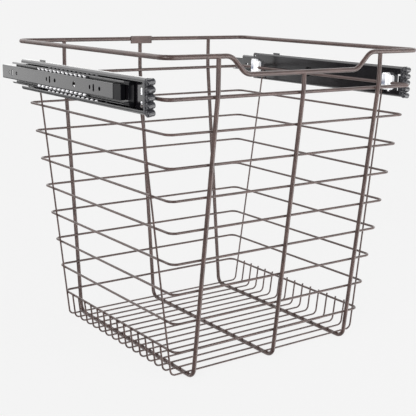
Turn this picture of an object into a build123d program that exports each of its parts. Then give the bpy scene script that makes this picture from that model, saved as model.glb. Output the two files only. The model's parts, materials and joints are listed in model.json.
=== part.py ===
from build123d import *
import os
from math import atan2, copysign, cos, radians, sin, tan

# A deep welded wire basket that pulls out of a cabinet on two telescopic ball slides.
# Millimetres. +Z is up, the front of the basket faces -Y, and the slides are on the left and right.
# Sizes of wires run to their centre lines. The origin is under the middle of the whole, on the floor.

# Wires
rim_wire = 6.4
frame_wire = 6.0
carrier_wire = 5.0
wall_wire = 3.4
cross_wire = 2.6
weld_bite = 0.1
plate_bite = 0.02

# Basket
rim_width = 433.4
rim_depth = 410.0
rim_corner = 14.0
dip_depth = 23.5
dip_top_width = 240.0
dip_slope = 23.5
dip_bend = 20.0
rim_joint = 12.0
rim_rise = 50.4
rim_overhang = 0.4
taper_width = 84.5
taper_depth = 79.1
wall_corner = 10.0
wall_rings = 8
wall_pitch = 43.0
lowest_ring_rise = 36.8
frame_spread = 139.5
knee_rise = 5.0
knee_bend = 60.0
foot_bend = 13.5
cross_wires = 16
cross_bend = 8.0
cross_inset = 1.0
cross_stub = 3.0
upright_gap = 1.5
upright_lean = 4.9
plate_width = 40.0
plate_height = 12.0
plate_thickness = 1.5
plate_drop = 1.4

# Slides: u runs from the cabinet face towards the basket, z from the slide's centre line
slide_span = 457.2
slide_height = 45.0
slide_thickness = 12.7
slide_rise = 2.5
sheet = 1.2
ball = 4.76
ball_play = 0.06
race = ball / 2 + ball_play
basket_lip_u = 1.2
middle_lip_u = 1.8
basket_mouth_play = 0.8
middle_mouth_rise = 0.9
middle_web_u = 9.9
cabinet_rail_depth = 7.2
cabinet_rail_corner = 1.6
cabinet_rail_length = 342.0
cabinet_rail_front = -102.0
middle_rail_length = 334.0
middle_rail_front = -126.0
rail_past_front_clip = 21.0
rail_past_rear_clip = 12.5

# Ball cages
cage_sheet = 0.5
cage_play = 0.15
cage_row = 12
cage_pitch = 12.6
cage_end = 6.0
cage_bridge = 10.0
cage_margin = 3.0
inner_cage_middle = 52.0
outer_cage_middle = 19.5

# Holes of the rails
group_count = 3
group_pitch = 128.0
group_front = 34.5
screw_hole = 5.6
tall_slot_offset = 16.0
tall_slot_width = 4.0
tall_slot_height = 10.0
small_slot_offset = 26.0
small_slot_height = 5.6
sight_hole = 8.0
sight_hole_y = 3.0
window_hole = 16.0
middle_window_y = 20.9
basket_window_y = 26.3
latch_slot = 2.4
latch_slot_upper = (10.0, 20.0, 1.0)
latch_slot_lower = (12.0, 28.0, -8.5)
end_hole = 3.4
end_hole_inset = 5.0
end_hole_rise = 17.0
tab_length = 16.0
tab_height = 2.2
tab_y = 115.0

# Clips
clip_front_reach = 6.7
clip_rear_reach = 13.2
clip_wall = 2.2
clip_depth = 5.6
clip_length = 20.0
clip_seam = 1.5
clip_drop = 8.5
clip_high = 14.5
clip_low = 11.5
clip_corner = 4.0
clip_play = 0.02
leg_offset = 2.0
leg_width = 4.2
leg_play = 0.15
upper_leg = (2.2, 11.0)
lower_leg = (-8.3, -5.7)
lower_slot_drop = 13.0

# Stops and bumpers
stop_length = 19.0
stop_shank = 10.0
stop_play = 0.15
stop_trim = 0.4
stop_corner = 2.0
band_length = 13.0
band_play = 0.5
bumper_plate = 3.0
bumper_lobes = 5
bumper_lobe = 8.6
bumper_pitch = 9.4
bumper_drop = 0.8
bumper_sink = 1.4
bumper_edge = 2.0
bumper_tilt = 8.0
hook_slot = 2.2
hook_slot_inset = 4.5
hook_slot_top = 11.0
hook_slot_foot = -13.0

# Heights
frame_axis_z = frame_wire / 2
cross_axis_z = frame_wire + cross_wire / 2 - weld_bite
lowest_ring_z = cross_axis_z + lowest_ring_rise
carrier_z = lowest_ring_z + wall_rings * wall_pitch
rim_z = carrier_z + rim_rise
slide_z = carrier_z + slide_rise

# The walls lean in by the taper on their way down to the lowest ring
slide_face = slide_span / 2
web_face = slide_face - slide_thickness
line_run = wall_rings * wall_pitch
lean_x = taper_width / 2 / line_run
lean_y = taper_depth / 2 / line_run
lean_cos_x = cos(atan2(lean_x, 1))
lean_cos_y = cos(atan2(lean_y, 1))

# The frames lie against the outside of the rings at the front and back, the cross wires at the sides
frame_reach = (wall_wire / 2 + frame_wire / 2 - weld_bite) / lean_cos_y
cross_reach = (wall_wire / 2 + cross_wire / 2 - weld_bite) / lean_cos_x

# The carrier ring lies against the clips, and the rim stands over the frames
carrier_half_x = web_face - clip_wall - carrier_wire / 2
wall_half_y = rim_depth / 2 - rim_overhang - frame_reach
carrier_half_y = wall_half_y + frame_reach - (
    (carrier_wire / 2 + frame_wire / 2 - weld_bite) / lean_cos_y
)


def line_x(z):
    return carrier_half_x - lean_x * (carrier_z - z)


def line_y(z):
    return wall_half_y - lean_y * (carrier_z - z)


knee_y = line_y(carrier_z + knee_rise) + frame_reach
foot_y = line_y(frame_axis_z) + frame_reach
foot_turn = radians(90) - atan2(lean_y, 1)
cross_edge = foot_y - foot_bend * tan(foot_turn / 2) - cross_inset

# The clips sit just outside the first and last cross wire
clip_front_y = -cross_edge - clip_front_reach
clip_rear_y = cross_edge + clip_rear_reach

# Slide section, worked out from the outside in
basket_half = slide_height / 2
outer_row_z = basket_half - sheet - race
outer_row_u = basket_lip_u + sheet + race
middle_half = outer_row_z - race
inner_row_z = middle_half - sheet - race
inner_row_u = middle_lip_u + sheet + race
cabinet_half = inner_row_z - race
section_corner = race + sheet
cage_length = (cage_row - 1) * cage_pitch + 2 * cage_end
cabinet_rail_back = cabinet_rail_front + cabinet_rail_length
basket_rail_front = clip_front_y - rail_past_front_clip
basket_rail_back = clip_rear_y + rail_past_rear_clip
first_screw_y = cabinet_rail_front + group_front

# The middle of the whole, front of the basket to back of the cabinet rails
basket_front = max(rim_depth / 2 + rim_wire / 2, knee_y + frame_wire / 2)
middle_y = (cabinet_rail_back - basket_front) / 2

nodes = {}


def keep(name, *solids):
    home = Pos(0, -middle_y, 0)
    nodes[name] = Compound([solid for shape in solids for solid in (home * shape).solids()])


def keep_pair(name, *solids):
    keep("left_" + name, *solids)
    keep("right_" + name, *[mirror(solid, about=Plane.YZ) for solid in solids])


def bent_wire(points, bends, diameter, closed=False):
    path = FilletPolyline(*points, radius=bends, close=closed)
    start = Plane(origin=path @ 0, z_dir=path % 0)
    return sweep(start * Circle(diameter / 2), path=path)


def rod(diameter, length, centre, direction):
    return Plane(origin=centre, z_dir=direction) * Cylinder(diameter / 2, length)


# ---- wires ----

def ring(half_x, half_y, z, corner, diameter):
    points = [(half_x, -half_y, z), (half_x, half_y, z), (-half_x, half_y, z), (-half_x, -half_y, z)]
    return bent_wire(points, corner, diameter, closed=True)


def top_rim():
    x, y, end = rim_width / 2, rim_depth / 2, dip_top_width / 2 + rim_joint
    points = [
        (end, -y, rim_z), (x, -y, rim_z), (x, y, rim_z),
        (-x, y, rim_z), (-x, -y, rim_z), (-end, -y, rim_z),
    ]
    return bent_wire(points, [rim_corner] * 4, rim_wire)


def rim_dip():
    y, top, floor = rim_depth / 2, dip_top_width / 2, dip_top_width / 2 - dip_slope
    end, low = top + rim_joint, rim_z - dip_depth
    points = [
        (-end, -y, rim_z), (-top, -y, rim_z), (-floor, -y, low),
        (floor, -y, low), (top, -y, rim_z), (end, -y, rim_z),
    ]
    return bent_wire(points, [dip_bend] * 4, rim_wire)


def u_frame(x, front_z):
    knee_z = carrier_z + knee_rise
    top_y = rim_depth / 2
    points = [
        (x, -top_y, front_z), (x, -knee_y, knee_z), (x, -foot_y, frame_axis_z),
        (x, foot_y, frame_axis_z), (x, knee_y, knee_z), (x, top_y, rim_z),
    ]
    frame = bent_wire(points, [knee_bend, foot_bend, foot_bend, knee_bend], frame_wire)
    span = 4 * rim_wire
    front = rod(rim_wire, span, (x, -top_y, front_z), (1, 0, 0))
    back = rod(rim_wire, span, (x, top_y, rim_z), (1, 0, 0))
    return (frame - front - back).solids().sort_by(SortBy.VOLUME)[-1]


def cross_piece(y, upright):
    top_z = carrier_z - upright_gap if upright else lowest_ring_z + cross_stub
    top_x = line_x(top_z) + cross_reach
    floor_x = line_x(cross_axis_z) + cross_reach
    top_y = y - copysign(upright_lean, y) if upright else y
    points = [
        (-top_x, top_y, top_z), (-floor_x, y, cross_axis_z),
        (floor_x, y, cross_axis_z), (top_x, top_y, top_z),
    ]
    wire = bent_wire(points, cross_bend, cross_wire)
    if not upright:
        return wire
    for side in (-1, 1):
        wire -= rod(carrier_wire, 4 * carrier_wire, (side * carrier_half_x, y, carrier_z), (0, 1, 0))
    return wire.solids().sort_by(SortBy.VOLUME)[-1]


def back_plate():
    y = rim_depth / 2 - rim_wire / 2 + plate_bite - plate_thickness / 2
    return Pos(0, y, rim_z - plate_drop) * Box(plate_width, plate_thickness, plate_height)


def make_basket():
    keep("top_rim", top_rim())
    keep("rim_dip", rim_dip())
    keep("carrier_ring", ring(carrier_half_x, carrier_half_y, carrier_z, wall_corner, carrier_wire))
    for number in range(1, wall_rings + 1):
        z = carrier_z - number * wall_pitch
        keep(f"wall_ring_{number}", ring(line_x(z), line_y(z), z, wall_corner, wall_wire))
    keep("u_frame_left", u_frame(-frame_spread, rim_z))
    keep("u_frame_middle", u_frame(0, rim_z - dip_depth))
    keep("u_frame_right", u_frame(frame_spread, rim_z))
    pitch = 2 * cross_edge / (cross_wires - 1)
    for number in range(1, cross_wires + 1):
        y = (number - 1) * pitch - cross_edge
        keep(f"cross_wire_{number:02d}", cross_piece(y, number in (1, cross_wires)))
    keep("back_plate", back_plate())


# ---- slides: all of these are made on the left and mirrored to the right ----

def slide_box(u0, u1, y0, y1, z0, z1):
    centre = Pos(-slide_face + (u0 + u1) / 2, (y0 + y1) / 2, slide_z + (z0 + z1) / 2)
    return centre * Box(u1 - u0, y1 - y0, z1 - z0)


def slide_bar(section, y0, y1):
    start = Plane(origin=(-slide_face, y1, slide_z), x_dir=(1, 0, 0), z_dir=(0, -1, 0))
    return extrude(start * section, amount=y1 - y0)


def slide_hole(diameter, u0, u1, y, z):
    return rod(diameter, u1 - u0, (-slide_face + (u0 + u1) / 2, y, slide_z + z), (1, 0, 0))


def slide_slot(width, height, u0, u1, y, z):
    start = Plane(origin=(-slide_face + u0, y, slide_z + z), x_dir=(0, 1, 0), z_dir=(1, 0, 0))
    return extrude(start * SlotOverall(height, width, rotation=90), amount=u1 - u0)


def channel_section(lip_u, web_u, half, mouth):
    width = web_u - lip_u
    at = Pos((lip_u + web_u) / 2, 0)
    outside = at * RectangleRounded(width, 2 * half, section_corner)
    inside = at * RectangleRounded(width - 2 * sheet, 2 * (half - sheet), race)
    opening = Pos(lip_u + race / 2, 0) * Rectangle(race, 2 * mouth)
    return outside - inside - opening


def cabinet_rail():
    width = 2 * cabinet_rail_depth
    at = Pos(cabinet_rail_depth, 0)
    outside = at * RectangleRounded(width, 2 * cabinet_half, cabinet_rail_corner)
    inner_corner = cabinet_rail_corner - sheet
    inside = at * RectangleRounded(width - 2 * sheet, 2 * (cabinet_half - sheet), inner_corner)
    away = Pos(1.5 * cabinet_rail_depth, 0) * Rectangle(cabinet_rail_depth, 2 * slide_height)
    rail = slide_bar(outside - inside - away, cabinet_rail_front, cabinet_rail_back)
    for group in range(group_count):
        y = first_screw_y + group * group_pitch
        rail -= slide_hole(screw_hole, -sheet, 2 * sheet, y, 0)
        y_tall, y_small = y + tall_slot_offset, y + small_slot_offset
        rail -= slide_slot(tall_slot_width, tall_slot_height, -sheet, 2 * sheet, y_tall, 0)
        rail -= slide_slot(tall_slot_width, small_slot_height, -sheet, 2 * sheet, y_small, 0)
    return rail - slide_hole(sight_hole, -sheet, 2 * sheet, sight_hole_y, 0)


def middle_rail():
    section = channel_section(middle_lip_u, middle_web_u, middle_half, inner_row_z + middle_mouth_rise)
    rail = slide_bar(section, middle_rail_front, middle_rail_front + middle_rail_length)
    web = (middle_web_u - 2 * sheet, middle_web_u + sheet)
    rail -= slide_hole(window_hole, *web, middle_window_y, 0)
    back = middle_rail_front + middle_rail_length
    for near, far, z in (latch_slot_upper, latch_slot_lower):
        rail -= slide_box(*web, back - far, back - near, z - latch_slot / 2, z + latch_slot / 2)
    return rail


def leg_place(clip_y):
    return clip_y + leg_offset if clip_y < 0 else clip_y - leg_offset


def clip_slot(y, z0, z1):
    return slide_box(
        slide_thickness - 2 * sheet, slide_thickness + sheet,
        y - leg_width / 2 - leg_play, y + leg_width / 2 + leg_play,
        z0 - slide_rise - leg_play, z1 - slide_rise + leg_play,
    )


def basket_rail():
    mouth = middle_half + basket_mouth_play
    section = channel_section(basket_lip_u, slide_thickness, basket_half, mouth)
    rail = slide_bar(section, basket_rail_front, basket_rail_back)
    web = (slide_thickness - 2 * sheet, slide_thickness + sheet)
    for clip_y in (clip_front_y, clip_rear_y):
        y = leg_place(clip_y)
        rail -= clip_slot(y, *upper_leg)
        rail -= clip_slot(y, -lower_slot_drop, lower_leg[1])
    rail -= slide_hole(window_hole, *web, basket_window_y, 0)
    for z in (-end_hole_rise, end_hole_rise):
        rail -= slide_hole(end_hole, *web, basket_rail_back - end_hole_inset, z)
    slot_y = basket_rail_front + hook_slot_inset
    slot_back = slot_y + hook_slot / 2
    rail -= slide_box(*web, slot_y - hook_slot / 2, slot_back, hook_slot_foot, hook_slot_top)
    arm = (hook_slot_top - hook_slot, hook_slot_top)
    rail -= slide_box(*web, basket_rail_front - hook_slot, slot_back, *arm)
    foot = basket_half - sheet
    tab = slide_box(
        slide_thickness - section_corner - sheet, slide_thickness - section_corner,
        tab_y - tab_length / 2, tab_y + tab_length / 2, foot, basket_half + tab_height,
    )
    return rail + tab


def ball_cage(row_u, row_z, lip_u, web_u, middle):
    y0, y1 = middle - cage_length / 2, middle + cage_length / 2
    edge = row_z + cage_sheet / 2
    cage = slide_box(web_u, web_u + cage_sheet, y0, y1, -edge, edge)
    window = row_z - cage_margin
    cage -= slide_box(web_u - sheet, web_u + sheet, y0 + cage_bridge, y1 - cage_bridge, -window, window)
    for side in (-1, 1):
        z0, z1 = sorted((side * edge, side * (edge - cage_sheet)))
        cage += slide_box(lip_u + sheet + cage_play, web_u + cage_sheet, y0, y1, z0, z1)
    for y in ball_places(middle):
        hole = Pos(-slide_face + row_u, y, slide_z) * Cylinder(ball / 2 + cage_play, 3 * slide_height)
        cage -= hole
    return cage


def ball_places(middle):
    return [middle + (i - (cage_row - 1) / 2) * cage_pitch for i in range(cage_row)]


def balls(row_u, row_z, middle):
    places = [(y, side * row_z) for side in (-1, 1) for y in ball_places(middle)]
    return [Pos(-slide_face + row_u, y, slide_z + z) * Sphere(ball / 2) for y, z in places]


def rail_stop():
    half = cabinet_half - stop_trim
    head = slide_box(
        stop_trim, cabinet_rail_depth - stop_play,
        cabinet_rail_front - stop_length, cabinet_rail_front, -half, half,
    )
    head = fillet(head.edges().filter_by(Axis.X).group_by(Axis.Y)[0], stop_corner)
    inside = cabinet_half - sheet - stop_play
    shank = slide_box(
        sheet + stop_play, cabinet_rail_depth - stop_play,
        cabinet_rail_front, cabinet_rail_front + stop_shank, -inside, inside,
    )
    return head + shank


def middle_band():
    width = middle_web_u - middle_lip_u
    outside = Pos((middle_lip_u + middle_web_u) / 2, 0) * (
        RectangleRounded(width, 2 * middle_half, section_corner)
    )
    web_inside = middle_web_u - sheet
    way = Pos(web_inside / 2, 0) * Rectangle(web_inside, 2 * (cabinet_half + band_play))
    return slide_bar(outside - way, middle_rail_front - band_length, middle_rail_front)


def end_bumper():
    y0 = basket_rail_front - bumper_plate
    bumper = slide_box(0, slide_thickness, y0, basket_rail_front, -basket_half, basket_half)
    bumper = fillet(bumper.edges().filter_by(Axis.Y), section_corner)
    centre_y = y0 - bumper_lobe / 2 + bumper_sink
    tilt = radians(bumper_tilt)
    span = (slide_thickness - bumper_lobe * sin(tilt)) / cos(tilt)
    for i in range(bumper_lobes):
        z = slide_z - bumper_drop + (i - (bumper_lobes - 1) / 2) * bumper_pitch
        centre = (-slide_face + slide_thickness / 2, centre_y, z)
        lobe = rod(bumper_lobe, span, centre, (cos(tilt), 0, sin(tilt)))
        bumper += fillet(lobe.edges(), bumper_edge)
    return bumper


def carrier_clip(y):
    bottom = carrier_z - clip_drop
    seam_y = y + clip_seam
    start = Plane(origin=(-web_face, 0, 0), x_dir=(0, 1, 0), z_dir=(1, 0, 0))
    lobes = [
        (seam_y - clip_corner, y + clip_length / 2, clip_high),
        (y - clip_length / 2, seam_y, clip_low),
    ]
    body = None
    for y0, y1, rise in lobes:
        height = rise + clip_drop
        shape = Pos((y0 + y1) / 2, bottom + height / 2) * RectangleRounded(y1 - y0, height, clip_corner)
        lobe = extrude(start * shape, amount=clip_depth)
        body = lobe if body is None else body + lobe
    groove = carrier_wire + 2 * clip_play
    body -= rod(groove, 2 * clip_length, (-carrier_half_x, y, carrier_z), (0, 1, 0))
    leg_y = leg_place(y)
    for z0, z1 in (upper_leg, lower_leg):
        body += slide_box(
            slide_thickness - sheet + stop_play, slide_thickness,
            leg_y - leg_width / 2, leg_y + leg_width / 2, z0 - slide_rise, z1 - slide_rise,
        )
    return body


def make_slides():
    keep_pair("cabinet_rail", cabinet_rail())
    keep_pair("rail_stop", rail_stop())
    keep_pair("middle_rail", middle_rail())
    keep_pair("middle_band", middle_band())
    keep_pair("basket_rail", basket_rail())
    keep_pair("end_bumper", end_bumper())
    keep_pair("front_clip", carrier_clip(clip_front_y))
    keep_pair("rear_clip", carrier_clip(clip_rear_y))
    inner_web_u = middle_web_u - sheet - cage_play - cage_sheet
    outer_web_u = (middle_web_u + slide_thickness - sheet - cage_sheet) / 2
    inner = (inner_row_u, inner_row_z)
    outer = (outer_row_u, outer_row_z)
    keep_pair("inner_cage", ball_cage(*inner, middle_lip_u, inner_web_u, inner_cage_middle))
    keep_pair("inner_balls", *balls(*inner, inner_cage_middle))
    keep_pair("outer_cage", ball_cage(*outer, basket_lip_u, outer_web_u, outer_cage_middle))
    keep_pair("outer_balls", *balls(*outer, outer_cage_middle))


make_basket()
make_slides()
os.makedirs("parts", exist_ok=True)
for name, shape in nodes.items():
    export_step(shape, f"parts/{name}.step")
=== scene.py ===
import json
import math
import random
import bpy
import bmesh
from mathutils import Matrix, Vector


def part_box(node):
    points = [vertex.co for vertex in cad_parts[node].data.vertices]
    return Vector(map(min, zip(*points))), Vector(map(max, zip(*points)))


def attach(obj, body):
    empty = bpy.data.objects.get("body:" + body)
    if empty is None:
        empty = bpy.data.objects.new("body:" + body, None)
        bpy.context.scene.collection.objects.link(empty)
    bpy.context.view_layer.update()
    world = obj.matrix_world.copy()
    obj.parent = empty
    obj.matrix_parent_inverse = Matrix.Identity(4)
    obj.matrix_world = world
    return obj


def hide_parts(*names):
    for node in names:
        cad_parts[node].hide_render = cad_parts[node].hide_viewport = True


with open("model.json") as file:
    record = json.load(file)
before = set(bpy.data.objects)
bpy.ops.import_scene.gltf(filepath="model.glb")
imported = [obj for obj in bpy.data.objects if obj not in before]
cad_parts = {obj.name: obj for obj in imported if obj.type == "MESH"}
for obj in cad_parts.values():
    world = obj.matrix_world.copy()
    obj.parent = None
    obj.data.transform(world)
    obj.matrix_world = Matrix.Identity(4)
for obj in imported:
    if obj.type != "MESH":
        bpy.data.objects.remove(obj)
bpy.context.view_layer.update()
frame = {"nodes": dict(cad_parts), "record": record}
nodes = frame["nodes"]
slots = {part["node"]: part["material_slot"] for part in frame["record"]["subparts"]}
mm = 0.001
print("frame loaded,", len(nodes), "nodes")


class Sock:  # a socket that can be used like a number
    def __init__(self, mat, socket):
        self.mat = mat
        self.socket = socket

    def math(self, operation, other, swap=False):
        pair = [other, self] if swap else [self, other]
        return self.mat.add("ShaderNodeMath", {"operation": operation}, {0: pair[0], 1: pair[1]})

    def __add__(self, other):
        return self.math("ADD", other)

    def __radd__(self, other):
        return self.math("ADD", other, True)

    def __rsub__(self, other):
        return self.math("SUBTRACT", other, True)

    def __mul__(self, other):
        return self.math("MULTIPLY", other)

    def __rmul__(self, other):
        return self.math("MULTIPLY", other, True)

    def __or__(self, other):  # the larger of the two
        return self.math("MAXIMUM", other)


class Finish:  # the nodes of a material or of the world
    def __init__(self, owner, shader="Principled BSDF"):
        self.owner = owner
        owner.use_nodes = True
        self.tree = owner.node_tree
        self.shader = self.tree.nodes[shader]

    def add(self, kind, settings=None, inputs=None, out=0):
        node = self.tree.nodes.new(kind)
        for key, value in (settings or {}).items():
            setattr(node, key, value)
        for key, value in (inputs or {}).items():
            self.plug(node.inputs[key], value)
        return Sock(self, node.outputs[out])

    def plug(self, socket, value):
        if isinstance(value, Sock):
            self.tree.links.new(value.socket, socket)
        else:
            socket.default_value = value

    def set(self, **values):
        for name, value in values.items():
            self.plug(self.shader.inputs[name.replace("_", " ")], value)

    def place(self):  # the piece's own coordinates, which move with it
        return self.add("ShaderNodeTexCoord", out=3)

    def stretched(self, place, scale):
        return self.add("ShaderNodeMapping", inputs={"Vector": place, "Scale": scale})

    def noise(self, place, size, detail=2.0, rough=0.5):  # size of a blotch in metres
        inputs = {"Vector": place, "Scale": 1 / size, "Detail": detail, "Roughness": rough}
        return self.add("ShaderNodeTexNoise", inputs=inputs)

    def ramp(self, value, low, high):  # 0 below low, 1 above high
        inputs = {"Value": value, "From Min": low, "From Max": high}
        return self.add("ShaderNodeMapRange", {"clamp": True}, inputs)

    def blend(self, factor, first, second):
        inputs = {0: factor, 6: first, 7: second}
        return self.add("ShaderNodeMix", {"data_type": "RGBA"}, inputs, out=2)

    def dot(self, vector, direction):
        inputs = {0: vector, 1: Vector(direction).normalized()}
        return self.add("ShaderNodeVectorMath", {"operation": "DOT_PRODUCT"}, inputs, out=1)

    def rayIs(self, kind):
        outs = ["Camera", "Shadow", "Diffuse", "Glossy", "Singular", "Reflection", "Transmission"]
        return self.add("ShaderNodeLightPath", out=outs.index(kind))

    def bump(self, height, depth, normal=None):
        inputs = {"Height": height, "Distance": depth}
        if normal:
            inputs["Normal"] = normal
        return self.add("ShaderNodeBump", inputs=inputs)

    def softEdge(self, radius):  # rounds the light on sharp edges
        return self.add("ShaderNodeBevel", {"samples": 6}, {"Radius": radius})


def newFinish(name):
    return Finish(bpy.data.materials.new(name))


def srgb(red, green, blue):
    def linear(c):
        c /= 255
        return c / 12.92 if c <= 0.04045 else ((c + 0.055) / 1.055) ** 2.4
    return (linear(red), linear(green), linear(blue), 1)


def powderCoat():
    coat = {"colour": srgb(94, 76, 72), "deep": srgb(74, 59, 56), "fleck": srgb(140, 118, 112),
            "patchSize": 18 * mm, "patchLow": 0.35, "patchHigh": 0.7, "fleckSize": 0.3 * mm,
            "fleckLow": 0.58, "fleckHigh": 0.75, "fleckShare": 0.35, "fleckRise": 0.2,
            "peelSize": 1.6 * mm, "peelDepth": 0.05 * mm, "rough": 0.36, "uneven": 0.16,
            "metal": 0.15, "clear": 0.1, "clearRough": 0.28}
    f = newFinish("bronzePowderCoat")
    place = f.place()
    patch = f.noise(place, coat["patchSize"], detail=4)
    fleck = f.noise(place, coat["fleckSize"], detail=2, rough=0.8)
    peel = f.noise(place, coat["peelSize"], detail=3)
    colour = f.blend(f.ramp(patch, coat["patchLow"], coat["patchHigh"]), coat["deep"], coat["colour"])
    specks = f.ramp(fleck, coat["fleckLow"], coat["fleckHigh"]) * coat["fleckShare"]
    colour = f.blend(specks, colour, coat["fleck"])
    f.set(Base_Color=colour, Roughness=coat["rough"] + coat["uneven"] * patch)
    f.set(Metallic=coat["metal"], Coat_Weight=coat["clear"], Coat_Roughness=coat["clearRough"])
    f.set(Normal=f.bump(peel + coat["fleckRise"] * fleck, coat["peelDepth"]))
    return f.owner


def blackEnamel(name, edge):  # edge is how far the light on an edge is rounded
    enamel = {"colour": srgb(26, 24, 28), "dark": srgb(14, 13, 16), "smudgeSize": 34 * mm,
              "smudgeLow": 0.35, "smudgeHigh": 0.7, "lineSize": 0.4 * mm, "lineDepth": 0.004 * mm,
              "lineStretch": (1, 0.02, 1), "rough": 0.1, "uneven": 0.1, "shine": 1.66}
    f = newFinish(name)
    place = f.place()
    lines = f.noise(f.stretched(place, enamel["lineStretch"]), enamel["lineSize"], detail=2)
    smudge = f.noise(place, enamel["smudgeSize"], detail=4)
    spread = f.ramp(smudge, enamel["smudgeLow"], enamel["smudgeHigh"])
    f.set(Base_Color=f.blend(spread, enamel["dark"], enamel["colour"]), IOR=enamel["shine"])
    f.set(Roughness=enamel["rough"] + enamel["uneven"] * smudge)
    f.set(Normal=f.bump(lines, enamel["lineDepth"], f.softEdge(edge)))
    return f.owner


def cageSteel():
    cage = {"dark": srgb(34, 34, 37), "light": srgb(60, 60, 64), "patchSize": 6 * mm, "metal": 0.9,
            "rough": 0.26, "uneven": 0.2}
    f = newFinish("cageSteel")
    patch = f.noise(f.place(), cage["patchSize"], detail=3)
    f.set(Base_Color=f.blend(patch, cage["dark"], cage["light"]), Metallic=cage["metal"])
    f.set(Roughness=cage["rough"] + cage["uneven"] * patch)
    return f.owner


def bearingSteel():  # painted reflection: near-white and glowing a little, for the bright room that polished balls reflect
    steel = {"dull": srgb(236, 236, 238), "bright": srgb(252, 252, 254), "filmSize": 2 * mm,
             "metal": 0.4, "glow": 0.6, "rough": 0.2, "uneven": 0.12}
    f = newFinish("bearingSteel")
    film = f.noise(f.place(), steel["filmSize"], detail=2)
    tone = f.blend(film, steel["dull"], steel["bright"])
    f.set(Base_Color=tone, Metallic=steel["metal"], Roughness=steel["rough"] + steel["uneven"] * film)
    f.set(Emission_Color=tone, Emission_Strength=steel["glow"])
    return f.owner


def stopPlastic():
    stop = {"black": srgb(12, 12, 14), "worn": srgb(26, 26, 30), "grainSize": 0.6 * mm,
            "grainDepth": 0.02 * mm, "edge": 0.5 * mm, "shine": 1.22, "rough": 0.24, "uneven": 0.12}
    f = newFinish("stopPlastic")
    grain = f.noise(f.place(), stop["grainSize"], detail=3, rough=0.6)
    f.set(Base_Color=f.blend(grain, stop["black"], stop["worn"]), IOR=stop["shine"])
    f.set(Roughness=stop["rough"] + stop["uneven"] * grain)
    f.set(Normal=f.bump(grain, stop["grainDepth"], f.softEdge(stop["edge"])))
    return f.owner


def bumperPlastic():
    bumper = {"black": srgb(40, 40, 43), "sheen": srgb(70, 70, 75), "flowSize": 5 * mm,
              "flowDepth": 0.06 * mm, "clear": 0.2, "clearRough": 0.25, "shine": 1.5, "rough": 0.2,
              "uneven": 0.14}
    f = newFinish("bumperPlastic")
    flow = f.noise(f.place(), bumper["flowSize"], detail=3)
    f.set(Base_Color=f.blend(flow, bumper["black"], bumper["sheen"]), IOR=bumper["shine"])
    f.set(Roughness=bumper["rough"] + bumper["uneven"] * flow)
    f.set(Coat_Weight=bumper["clear"], Coat_Roughness=bumper["clearRough"])
    f.set(Normal=f.bump(flow, bumper["flowDepth"]))
    return f.owner


def milkyNylon():  # painted shade: the pocket beside the wire is painted grey-blue, fainter higher up, for the dark wire and rail seen through the thin nylon
    nylon = {"cloudy": srgb(232, 235, 240), "thick": srgb(253, 253, 253), "pocketShade": srgb(116, 122, 140),
             "cloudSize": 4 * mm, "cloudDepth": 0.25 * mm, "cloudLow": 0.3, "cloudHigh": 0.6,
             "even": 0.55, "clouded": 0.45, "depth": 1.2 * mm, "scatter": 0.3, "glow": 0.3,
             "rough": 0.18, "uneven": 0.2}
    f = newFinish("milkyNylon")
    cloud = f.noise(f.place(), nylon["cloudSize"], detail=3)
    haze = f.ramp(cloud, nylon["cloudLow"], nylon["cloudHigh"])
    wall = f.blend(haze, nylon["cloudy"], nylon["thick"])
    pocketShade = f.add("ShaderNodeAttribute", {"attribute_name": "paintedPocketShade"}, out=2)
    tone = f.blend(pocketShade * (nylon["even"] + nylon["clouded"] * haze), wall, nylon["pocketShade"])
    f.set(Base_Color=tone, Roughness=nylon["rough"] + nylon["uneven"] * cloud)
    # painted light: the clip glows a little so the milky nylon reads brighter
    f.set(Emission_Color=tone, Emission_Strength=nylon["glow"])
    f.set(Subsurface_Weight=nylon["scatter"], Subsurface_Radius=(1, 1, 1))
    f.set(Subsurface_Scale=nylon["depth"], Normal=f.bump(cloud, nylon["cloudDepth"]))
    return f.owner


edges = {"channel": 0.9 * mm, "plate": 0.3 * mm}
finishes = {
    "bronze_coat": powderCoat(), "slide_enamel": blackEnamel("channelEnamel", edges["channel"]),
    "cage_steel": cageSteel(), "steel_balls": bearingSteel(), "stop_plastic": stopPlastic(),
    "bumper_plastic": bumperPlastic(), "clip_plastic": milkyNylon(),
}
plateEnamel = blackEnamel("plateEnamel", edges["plate"])


def dressNodes():
    for name, node in nodes.items():
        node.data.materials.clear()
        node.data.materials.append(plateEnamel if "cabinet_rail" in name else finishes[slots[name]])


dressNodes()
print("finishes on the nodes")


def newPiece(name, shape, matrix=Matrix()):
    obj = bpy.data.objects.new(name, shape)
    obj.matrix_world = matrix
    bpy.context.scene.collection.objects.link(obj)
    bpy.context.view_layer.update()
    return obj


def settle(obj, slot):  # bakes the modifiers in and hands the piece to the basket
    shape = bpy.data.meshes.new_from_object(obj.evaluated_get(bpy.context.evaluated_depsgraph_get()))
    obj.modifiers.clear()
    obj.data = shape
    shape.materials.clear()
    shape.materials.append(finishes[slot])
    for face in shape.polygons:
        face.use_smooth = True
    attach(obj, "basket")


# Wires of the basket in mm: x and y are from its middle, z is from the floor
basket = {"middleY": -15.9, "carrierZ": 388.0, "lowestZ": 44.0, "pitch": 43.0, "rings": 8,
          "halfX": 211.2, "halfY": 199.97, "leanX": 0.12282, "leanY": 0.11497, "carrierY": 199.17,
          "frames": (-139.5, 0.0, 139.5), "rimZ": 438.4, "rimY": 205.0, "dip": 23.5, "rimRadius": 3.2,
          "crossWires": 16, "crossEdge": 147.3, "crossZ": 7.2, "uprightTop": 386.5, "uprightLean": 4.9,
          "wallRadius": 1.7, "carrierRadius": 2.5, "joint": 132.0, "plateX": 14.0, "webX": 215.9}


def lineX(z):
    return basket["halfX"] - basket["leanX"] * (basket["carrierZ"] - z)


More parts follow.
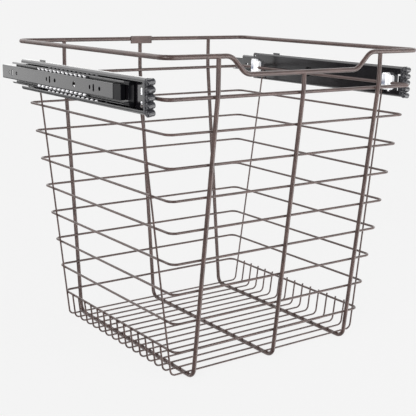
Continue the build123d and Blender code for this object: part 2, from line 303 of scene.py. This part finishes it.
def lineY(z):
    return basket["halfY"] - basket["leanY"] * (basket["carrierZ"] - z)


def crossY(number):
    return basket["crossEdge"] * (2 * number / (basket["crossWires"] - 1) - 1)


def uprightY(side, z):
    rise = (z - basket["crossZ"]) / (basket["uprightTop"] - basket["crossZ"])
    return side * (basket["crossEdge"] - basket["uprightLean"] * rise)


def weldPlaces(weld):  # place and half sizes of each bead
    b = basket
    ringSkin = b["wallRadius"] - weld["sink"]
    carrierSkin = b["carrierRadius"] - weld["sink"]
    ringHeights = [b["carrierZ"] - b["pitch"] * (i + 1) for i in range(b["rings"])]
    spots = []
    for x in b["frames"]:
        for side in (-1, 1):
            for z in ringHeights:
                spots.append(((x, side * (lineY(z) + ringSkin), z), weld["ring"]))
            spots.append(((x, side * (b["carrierY"] + carrierSkin), b["carrierZ"]), weld["carrier"]))
            rimZ = b["rimZ"] - (b["dip"] if x == 0 and side < 0 else 0)
            top = rimZ - b["rimRadius"] + weld["frameLift"]
            spots.append(((x, side * b["rimY"], top), weld["frameTop"]))
        for number in range(b["crossWires"]):
            spots.append(((x, crossY(number), b["crossZ"] - weld["crossDrop"]), weld["cross"]))
    for side in (-1, 1):
        for number in range(1, b["crossWires"] - 1):
            x = side * (lineX(b["lowestZ"]) + ringSkin)
            spots.append(((x, crossY(number), b["lowestZ"]), weld["stub"]))
        for end in (-1, 1):
            for z in ringHeights:
                spots.append(((side * (lineX(z) + ringSkin), uprightY(end, z), z), weld["stub"]))
            top = b["carrierZ"] - weld["uprightDrop"]
            spots.append(((side * (b["halfX"] + weld["uprightOut"]), uprightY(end, top), top), weld["stub"]))
        spots.append(((side * b["joint"], -b["rimY"], b["rimZ"]), weld["rimJoint"]))
        spots.append(((side * b["plateX"], b["rimY"] - b["rimRadius"], b["rimZ"]), weld["stub"]))
    return spots


def makeWelds():
    weld = {"ring": (2.2, 0.9, 2.3), "carrier": (2.6, 1.1, 2.7), "cross": (2.1, 1.7, 0.8),
            "stub": (0.8, 1.7, 1.7), "frameTop": (3.5, 2.9, 1.5), "rimJoint": (1.2, 2.9, 3.34),
            "sink": 0.05, "frameLift": 0.2, "crossDrop": 1.25, "uprightDrop": 1.2, "uprightOut": 2.1,
            "ragged": 0.1, "shrunk": 0.7, "seed": 7}
    rng = random.Random(weld["seed"])
    mesh = bmesh.new()
    for place, size in weldPlaces(weld):
        bead = bmesh.ops.create_icosphere(mesh, subdivisions=2, radius=1.0)["verts"]
        for vert in bead:
            swell = 1 + weld["ragged"] * (rng.random() - weld["shrunk"])
            spot = Vector([c * s * swell for c, s in zip(vert.co, size)]) + Vector(place)
            vert.co = (spot + Vector((0, basket["middleY"], 0))) * mm
    shape = bpy.data.meshes.new("weldBeads")
    mesh.to_mesh(shape)
    mesh.free()
    settle(newPiece("weldBeads", shape), "bronze_coat")


makeWelds()
print("weld beads")


clip = {"cover": 8.3 * mm, "coverCorner": 1.5 * mm, "tall": 12.5 * mm, "lobe": 10.5 * mm,
        "short": 3.0 * mm, "foot": 1.8 * mm, "rim": 1.7 * mm, "pocketDepth": 0.9 * mm,
        "pocketLow": 3.2 * mm, "pocketCorner": 0.8 * mm, "cornerSteps": 4, "voxel": 0.35 * mm,
        "softenTurns": 6, "softenShare": 0.5, "fade": 9.0 * mm, "faint": 0.3}


def roundedBlock(name, low, high, corner):
    place, size = (Vector(low) + Vector(high)) / 2, Vector(high) - Vector(low)
    mesh = bmesh.new()
    bmesh.ops.create_cube(mesh, size=1.0, matrix=Matrix.Translation(place) @ Matrix.Diagonal((*size, 1)))
    bmesh.ops.bevel(mesh, geom=mesh.edges[:], offset=corner, segments=clip["cornerSteps"], affect="EDGES")
    shape = bpy.data.meshes.new(name)
    mesh.to_mesh(shape)
    mesh.free()
    return newPiece(name, shape)


def combine(obj, operation, tool):
    step = obj.modifiers.new(operation.lower(), "BOOLEAN")
    step.operation = operation
    step.object = tool
    step.solver = "EXACT"


def smoothSkin(obj):
    remesh = obj.modifiers.new("skin", "REMESH")
    remesh.mode = "VOXEL"
    remesh.voxel_size = clip["voxel"]
    soften = obj.modifiers.new("soften", "SMOOTH")
    soften.factor = clip["softenShare"]
    soften.iterations = clip["softenTurns"]


def paintPocketShade(obj, pocket, face):  # painted shade mask: 1 in the pocket beside the wire, fainter above it, 0 elsewhere
    pocketShade = obj.data.attributes.new("paintedPocketShade", "FLOAT", "POINT")
    for vert, spot in zip(obj.data.vertices, pocketShade.data):
        at = obj.matrix_world @ vert.co
        within = all(pocket[0][axis] < at[axis] < pocket[1][axis] for axis in (1, 2))
        if within and abs(at.x - face) < 2 * clip["pocketDepth"]:
            height = (at.z - basket["carrierZ"] * mm) / clip["fade"]
            spot.value = max(clip["faint"], 1 - max(height, 0))


def makeClip(name):
    low, high = [Vector(corner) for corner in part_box(name)]
    side = 1 if low.x > 0 else -1
    web = side * basket["webX"] * mm  # the face of the rail that the clip lies on
    face = web - side * clip["cover"]  # the side towards the basket
    left, right = sorted((web, face))
    lobeStart, bottom = high.y - clip["lobe"], low.z - clip["foot"]
    obj = newPiece(name + "Moulding", nodes[name].data.copy(), nodes[name].matrix_world)
    lobes = [((left, high.y - clip["tall"], bottom), (right, high.y, high.z)),
             ((left, low.y, bottom), (right, lobeStart, high.z - clip["short"]))]
    depth, pocketFoot = clip["pocketDepth"], basket["carrierZ"] * mm - clip["pocketLow"]
    pocket = [(face - depth, lobeStart + clip["rim"], pocketFoot),
              (face + depth, high.y - clip["rim"], high.z - clip["rim"])]
    tools = [roundedBlock("lobe", *corners, clip["coverCorner"]) for corners in lobes]
    for lobe in tools:
        combine(obj, "UNION", lobe)
    tools.append(roundedBlock("pocket", *pocket, clip["pocketCorner"]))
    combine(obj, "DIFFERENCE", tools[-1])
    smoothSkin(obj)
    settle(obj, "clip_plastic")
    paintPocketShade(obj, pocket, face)
    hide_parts(name)
    for tool in tools:
        bpy.data.objects.remove(tool)


for side in ("left", "right"):
    for end in ("front", "rear"):
        makeClip(f"{side}_{end}_clip")
print("moulded clips")


def makeFloor():
    floor = {"size": 12.0, "place": (0, 2.0, -0.1 * mm), "seen": srgb(253, 253, 253),
             "tone": srgb(240, 240, 240), "rough": 0.8, "shine": 0.1, "shadow": 0.14,
             "sheetNear": 1.3, "sheetFar": 1.7}
    bpy.ops.mesh.primitive_plane_add(size=floor["size"], location=floor["place"])
    sheet = bpy.context.object
    sheet.name = "studioFloor"
    f = newFinish("palePaper")
    f.set(Base_Color=floor["tone"], Roughness=floor["rough"], Specular_IOR_Level=floor["shine"])
    glow = f.add("ShaderNodeEmission", inputs={"Color": floor["seen"]})
    paper = Sock(f, f.shader.outputs[0])
    seen = f.rayIs("Camera") * (1 - floor["shadow"])
    lit = f.add("ShaderNodeMixShader", inputs={0: seen, 1: paper, 2: glow})
    far = f.add("ShaderNodeVectorMath", {"operation": "LENGTH"}, {0: f.place()}, out=1)
    away = f.rayIs("Glossy") * f.ramp(far, floor["sheetNear"], floor["sheetFar"])
    clear = f.add("ShaderNodeBsdfTransparent")
    whole = f.add("ShaderNodeMixShader", inputs={0: away, 1: lit, 2: clear})
    f.plug(f.tree.nodes["Material Output"].inputs["Surface"], whole)
    sheet.data.materials.append(f.owner)


def makeWorld():  # the card, wall, sky and front are seen only in glossy surfaces
    room = {"light": 0.5, "zenith": 0.7, "zenithFrom": 0.1, "zenithTo": 0.7,
            "seen": srgb(244, 244, 244)[0], "dark": 0.04, "bright": 1.8,
            "cardWay": (0.743, 0.669, 0), "cardFrom": -0.02, "cardTo": 0.07, "cardLow": -0.04,
            "cardHigh": 0.06, "wallWay": (0.993, 0.12, 0), "wallFrom": 0.0, "wallTo": 0.12,
            "wallLow": 0.5, "wallHigh": 0.75, "backFrom": 0.0, "backTo": 0.2,
            "frontWay": (0.55, -0.83, -0.1), "frontFrom": 0.78, "frontTo": 0.92, "frontGlow": 5.0,
            "frontLow": -0.2, "frontHigh": -0.08, "skyWay": (0.45, 0.89, 0), "skyFrom": 0.0,
            "skyTo": 0.2, "skyLow": 0.02, "skyHigh": 0.16, "skyFade": 0.75, "skyEnd": 0.95,
            "skyGlow": 2.2}
    world = bpy.data.worlds.new("studioRoom")
    bpy.context.scene.world = world
    w = Finish(world, "Background")
    way = w.add("ShaderNodeTexCoord", out=0)
    height = w.dot(way, (0, 0, 1))
    back = w.ramp(w.dot(way, (0, 1, 0)), room["backFrom"], room["backTo"])
    card = w.ramp(w.dot(way, room["cardWay"]), room["cardFrom"], room["cardTo"])
    card = card * (1 - w.ramp(height, room["cardLow"], room["cardHigh"]))
    wall = w.ramp(w.dot(way, room["wallWay"]), room["wallFrom"], room["wallTo"])
    wall = wall * back * (1 - w.ramp(height, room["wallLow"], room["wallHigh"]))
    front = w.ramp(w.dot(way, room["frontWay"]), room["frontFrom"], room["frontTo"])
    front = front * (1 - w.ramp(height, room["frontLow"], room["frontHigh"]))
    sky = w.ramp(w.dot(way, room["skyWay"]), room["skyFrom"], room["skyTo"])
    sky = sky * w.ramp(height, room["skyLow"], room["skyHigh"])
    sky = sky * (1 - w.ramp(height, room["skyFade"], room["skyEnd"]))
    gloss = room["dark"] + (room["bright"] - room["dark"]) * (card | wall)
    gloss = (gloss | (room["skyGlow"] * sky)) + room["frontGlow"] * front
    seen = w.rayIs("Camera") | w.rayIs("Transmission")
    shiny = w.rayIs("Glossy")
    light = room["light"] * (1 - room["zenith"] * w.ramp(height, room["zenithFrom"], room["zenithTo"]))
    level = light * (1 - (seen | shiny)) + room["seen"] * seen + gloss * (shiny * (1 - seen))
    w.set(Strength=level, Color=(1, 1, 1, 1))


def addSun(name, towards, strength, spread):
    data = bpy.data.lights.new(name, "SUN")
    data.energy = strength
    data.angle = math.radians(spread)
    lamp = bpy.data.objects.new(name, data)
    lamp.rotation_euler = Vector(towards).to_track_quat("-Z", "Y").to_euler()
    bpy.context.scene.collection.objects.link(lamp)


def addSoftbox(name, place, target, size, glow):
    data = bpy.data.lights.new(name, "AREA")
    data.shape = "RECTANGLE"
    data.size, data.size_y = size
    data.energy = glow * math.pi * size[0] * size[1]
    lamp = bpy.data.objects.new(name, data)
    lamp.location = place
    lamp.rotation_euler = (Vector(target) - Vector(place)).to_track_quat("-Z", "Y").to_euler()
    lamp.visible_camera = False
    bpy.context.scene.collection.objects.link(lamp)


def makeCamera():
    shot = {"place": (-0.8012, -1.1172, 0.5102), "yaw": 35.922, "pitch": -13.196, "roll": 0.978,
            "lens": 78.47, "sensor": 36.0}
    data = bpy.data.cameras.new("shot")
    data.lens = shot["lens"]
    data.sensor_width = shot["sensor"]
    camera = bpy.data.objects.new("shot", data)
    turn = Matrix.Rotation(-math.radians(shot["yaw"]), 4, "Z")
    turn @= Matrix.Rotation(math.radians(90 + shot["pitch"]), 4, "X")
    turn @= Matrix.Rotation(math.radians(shot["roll"]), 4, "Z")
    camera.matrix_world = Matrix.Translation(shot["place"]) @ turn
    bpy.context.scene.collection.objects.link(camera)
    bpy.context.scene.camera = camera


makeFloor()
makeWorld()
addSun("keySun", towards=(-0.3, 0.9, -0.3), strength=0.6, spread=25)
addSun("fillSun", towards=(0.85, 0.5, -0.2), strength=2.6, spread=40)
addSoftbox("frontBox", place=(0.95, -1.6, 0.65), target=(0, 0, 0.3), size=(1.1, 0.6), glow=3.0)
makeCamera()
bpy.context.scene.view_settings.view_transform = "Standard"
print("studio and camera")
